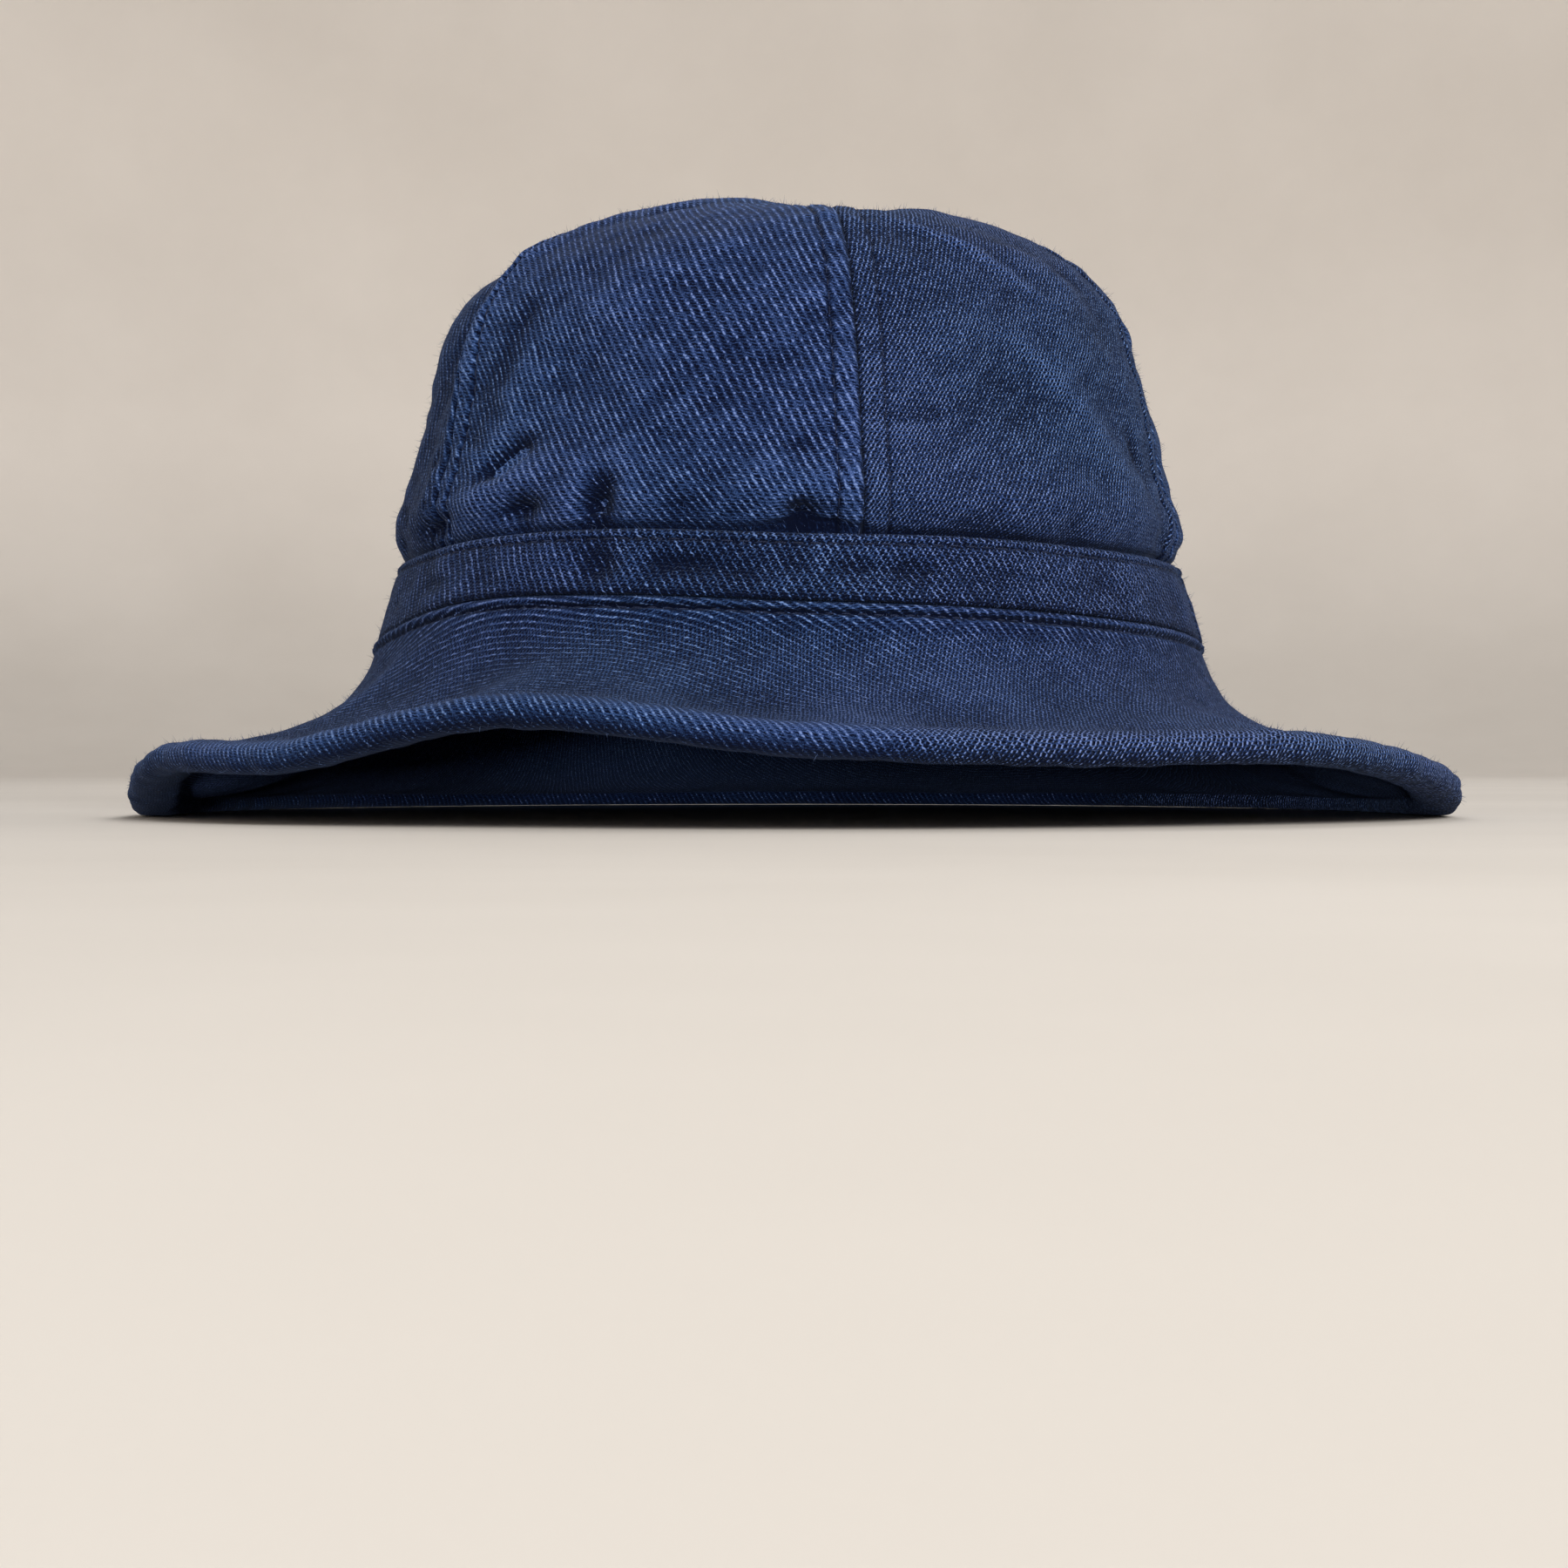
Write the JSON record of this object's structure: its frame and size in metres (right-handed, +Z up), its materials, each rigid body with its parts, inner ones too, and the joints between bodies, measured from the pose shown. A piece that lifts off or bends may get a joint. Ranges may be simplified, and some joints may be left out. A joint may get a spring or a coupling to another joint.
{
  "type": "fatigue cap",
  "caption": "Soft dark indigo twill cap: a round sewn crown of panels, a narrow band and a wide wavy flared brim with a rolled hem, worn on the head for shade.",
  "frame": {"origin": "middle of the floor under the cap, which stands on its brim", "axes": "+Z up along the crown's axis, front towards -Y, wearer's left at +X"},
  "size_m": [0.2916, 0.3034, 0.1329],
  "materials": {
    "crown_twill": "indigo twill, raised grain, matt",
    "band_twill": "indigo twill, raised grain, matt",
    "brim_twill": "indigo twill, raised grain, matt"
  },
  "bodies": {
    "root": {"crown_panel_front_left": "crown_twill", "crown_panel_front_right": "crown_twill", "crown_panel_right": "crown_twill", "crown_panel_back_right": "crown_twill", "crown_panel_back_left": "crown_twill", "crown_panel_left": "crown_twill", "band": "band_twill", "brim": "brim_twill"}
  },
  "joints": []
}
